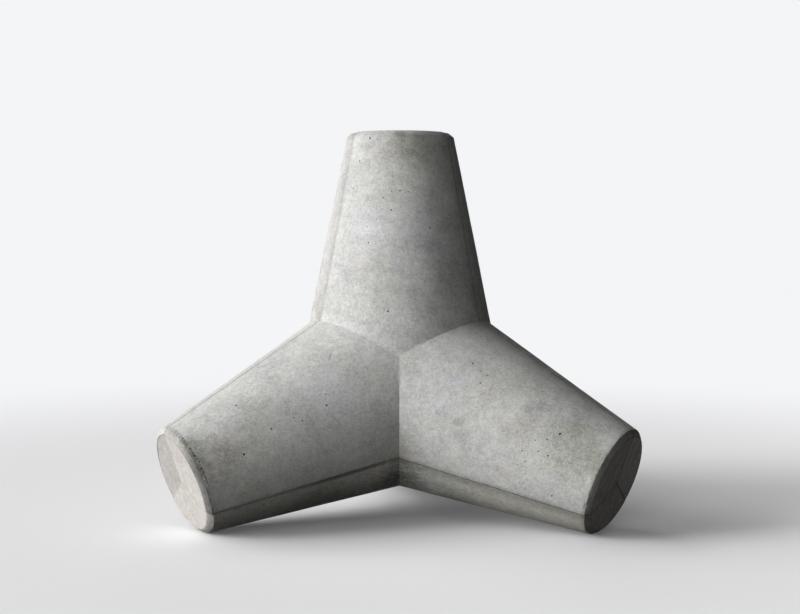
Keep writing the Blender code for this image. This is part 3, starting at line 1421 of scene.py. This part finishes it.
    @staticmethod
    def specks(graph: Graph, skin: SkinPlaces) -> Signal:
        """Pepper the skin with pinholes too small to model.

        Args:
            graph: The material's node tree.
            skin: Where the point lies.

        Returns:
            How much they darken.
        """
        cells = {"Vector": skin.place, "Scale": 1.0 / (3.1 * MM)}
        centre = graph.node("ShaderNodeTexVoronoi", {}, cells, "Distance")
        crowd = graph.noise(skin.place, 21.0 * MM, 2.0, 0.5)
        size = 0.04 + 0.5 * graph.noise(skin.place, 6.3 * MM) + 0.25 * crowd
        return 0.3 * (centre - size).rise(0.08, -0.06)

    def hue(self, graph: Graph, skin: SkinPlaces, hues: dict[Tint, Signal]) -> Signal:
        """Mix the cement's hues.

        Args:
            graph: The material's node tree.
            skin: Where the point lies.
            hues: How far each tint is drifted to.

        Returns:
            The colour, before it is lightened or darkened.
        """
        colour = graph.mix(0.55 * skin.in_shell(Leg.TOP), self.cement, self.underside)
        colour = graph.mix(0.8 * skin.in_shell(Leg.RIGHT), colour, self.flank)
        for tint, amount in hues.items():
            colour = graph.mix(amount.least(1.0), colour, tint.value)
        return graph.mix(0.85 * skin.on_face(), colour, self.face)

    @staticmethod
    def grain_relief(graph: Graph, skin: SkinPlaces) -> Signal:
        """Give the skin a fine sandy grain.

        Args:
            graph: The material's node tree.
            skin: Where the point lies.

        Returns:
            The bumped normal.
        """
        sand = graph.noise(skin.place, 0.9 * MM, 3.0, 0.65)
        ripples = graph.noise(skin.place, 4.5 * MM, 3.0, 0.6)
        height = 0.5 * sand + 1.2 * ripples
        inputs = {"Strength": 0.5, "Distance": 0.35 * MM, "Height": height}
        return graph.node("ShaderNodeBump", {}, inputs, "Normal")


@dataclass(frozen=True)
class FloorFinish:
    """Matt off-white paint that fades into the backdrop far from the casting.

    Attributes:
        paint: Its colour.
        sheen: Light that the pale room always gives back from it.
        backdrop: Colour of the white backdrop.
        fade: Distances from the middle over which the paint gives way to the backdrop, in metres.
    """

    paint: Colour = (0.80, 0.80, 0.81, 1.0)
    sheen: Colour = (0.055, 0.055, 0.055, 1.0)
    backdrop: Colour = (0.905, 0.91, 0.925, 1.0)
    fade: tuple[float, float] = (0.45, 1.5)

    def make(self) -> bpy.types.Material:
        """Make the material.

        Returns:
            The material.
        """
        material = bpy.data.materials.new("floor_paint")
        material.use_nodes = True
        graph = Graph(material.node_tree)
        place = graph.node("ShaderNodeTexCoord", {}, {}, "Object")
        away = graph.vector("LENGTH", place, (0.0, 0.0, 0.0), "Value")
        matt = graph.node("ShaderNodeBsdfDiffuse", {}, {"Color": self.paint}, "BSDF")
        sheen = graph.node("ShaderNodeEmission", {}, {"Color": self.sheen, "Strength": 1.0}, "Emission")
        near = graph.node("ShaderNodeAddShader", {}, {"Shader": matt, "Shader_001": sheen}, "Shader")
        far = graph.node("ShaderNodeEmission", {}, {"Color": self.backdrop, "Strength": 1.0}, "Emission")
        inputs = {"Fac": away.rise(*self.fade), "Shader": near, "Shader_001": far}
        both = graph.node("ShaderNodeMixShader", {}, inputs, "Shader")
        graph.node("ShaderNodeOutputMaterial", {}, {"Surface": both})
        return material


@dataclass(frozen=True)
class SoftLamp:
    """A broad soft light, far away.

    Attributes:
        name: What it stands for.
        azimuth: Degrees from the camera's side round to the left.
        elevation: Degrees above the floor.
        energy: Its strength.
        spread: Degrees across.
    """

    name: str
    azimuth: float
    elevation: float
    energy: float
    spread: float = 30.0

    def hang(self) -> None:
        """Add the lamp."""
        data = bpy.data.lights.new(self.name, "SUN")
        data.energy = self.energy
        data.angle = math.radians(self.spread)
        lamp = bpy.data.objects.new(self.name, data)
        bpy.context.scene.collection.objects.link(lamp)
        turn, rise = math.radians(self.azimuth), math.radians(self.elevation)
        level = math.cos(rise)
        towards = Vector((-math.sin(turn) * level, -math.cos(turn) * level, math.sin(rise)))
        lamp.rotation_euler = towards.to_track_quat("Z", "Y").to_euler()


@dataclass
class Studio:
    """A plain pale floor, a white backdrop and soft light, most of it from a window on the left.

    Attributes:
        plan: The casting's plan, which the camera is placed from.
        floor_radius: Of the round floor, in metres.
        glow: How much light the room gives back from all sides.
        lens: The camera's focal length, in millimetres.
        viewpoint: Where the camera is from the body's middle, as shares of a leg's reach.
        turns: The camera's roll, pitch and yaw, in radians.
        lamps: The window and the pale walls that give its light back.
    """

    plan: BodyPlan
    floor_radius: float = 6.0
    glow: float = 0.012
    lens: float = 68.07
    viewpoint: tuple[float, float, float] = (0.0286, -6.0955, 0.625)
    turns: tuple[float, float, float] = (0.0023, -0.0529, 0.0047)
    lamps: tuple[SoftLamp, ...] = (
        SoftLamp("window", 75.0, 20.0, 2.46),
        SoftLamp("window_low", 60.0, 8.0, 1.41),
        SoftLamp("window_high", 105.0, 35.0, 1.0),
        SoftLamp("window_side", 68.0, 35.0, 0.45),
        SoftLamp("back_wall", 180.0, 8.0, 0.40),
        SoftLamp("back_wall_right", 215.0, 8.0, 0.12),
        SoftLamp("front_wall", 23.0, 8.0, 0.86),
        SoftLamp("front_ceiling", 15.0, 35.0, 0.26),
        SoftLamp("ceiling", 138.0, 45.0, 0.50),
    )

    def build(self) -> None:
        """Build the camera, the floor, the room and the lamps."""
        self.camera()
        self.floor()
        self.room()
        for lamp in self.lamps:
            lamp.hang()

    def camera(self) -> None:
        """Place the camera in front of the casting, nearly level."""
        data = bpy.data.cameras.new("camera")
        data.sensor_width = 36.0
        data.lens = self.lens
        data.clip_end = 50.0
        camera = bpy.data.objects.new("camera", data)
        bpy.context.scene.collection.objects.link(camera)
        camera.location = self.plan.middle + self.plan.reach * Vector(self.viewpoint)
        level = Matrix.Rotation(math.pi / 2.0, 4, "X")
        roll, pitch, yaw = (Matrix.Rotation(turn, 4, axis) for turn, axis in zip(self.turns, "ZXZ"))
        camera.rotation_euler = (yaw @ level @ pitch @ roll).to_euler()
        bpy.context.scene.camera = camera

    def floor(self) -> None:
        """Lay the floor just under the casting, where it gives no light back."""
        shape = bmesh.new()
        bmesh.ops.create_circle(shape, cap_ends=True, segments=96, radius=self.floor_radius)
        mesh = bpy.data.meshes.new("floor")
        shape.to_mesh(mesh)
        shape.free()
        floor = bpy.data.objects.new("floor", mesh)
        bpy.context.scene.collection.objects.link(floor)
        floor.location.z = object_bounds()[0][2]
        floor.visible_diffuse = False
        floor.data.materials.append(FloorFinish().make())
        floor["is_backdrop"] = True

    def room(self) -> None:
        """Give the room a white backdrop, and a faint glow on everything else."""
        world = bpy.data.worlds.new("room")
        world.use_nodes = True
        graph = Graph(world.node_tree)
        seen = graph.node("ShaderNodeLightPath", {}, {}, "Is Camera Ray")
        strength = self.glow + (1.0 - self.glow) * seen
        inputs = {"Color": FloorFinish().backdrop, "Strength": strength}
        light = graph.node("ShaderNodeBackground", {}, inputs, "Background")
        graph.node("ShaderNodeOutputWorld", {}, {"Surface": light})
        bpy.context.scene.world = world


def main() -> None:
    """Build the casting and the studio in order, and report the casting."""
    logging.basicConfig(level=logging.INFO, format="%(name)s: %(message)s")
    plan = BodyPlan.from_frame(frame["record"])
    casting = Casting(plan).build()
    log.info("casting: %d triangles", len(casting.data.loop_triangles))
    Studio(plan).build()
    bpy.context.scene.view_settings.view_transform = "Standard"


if __name__ == "__main__":
    main()
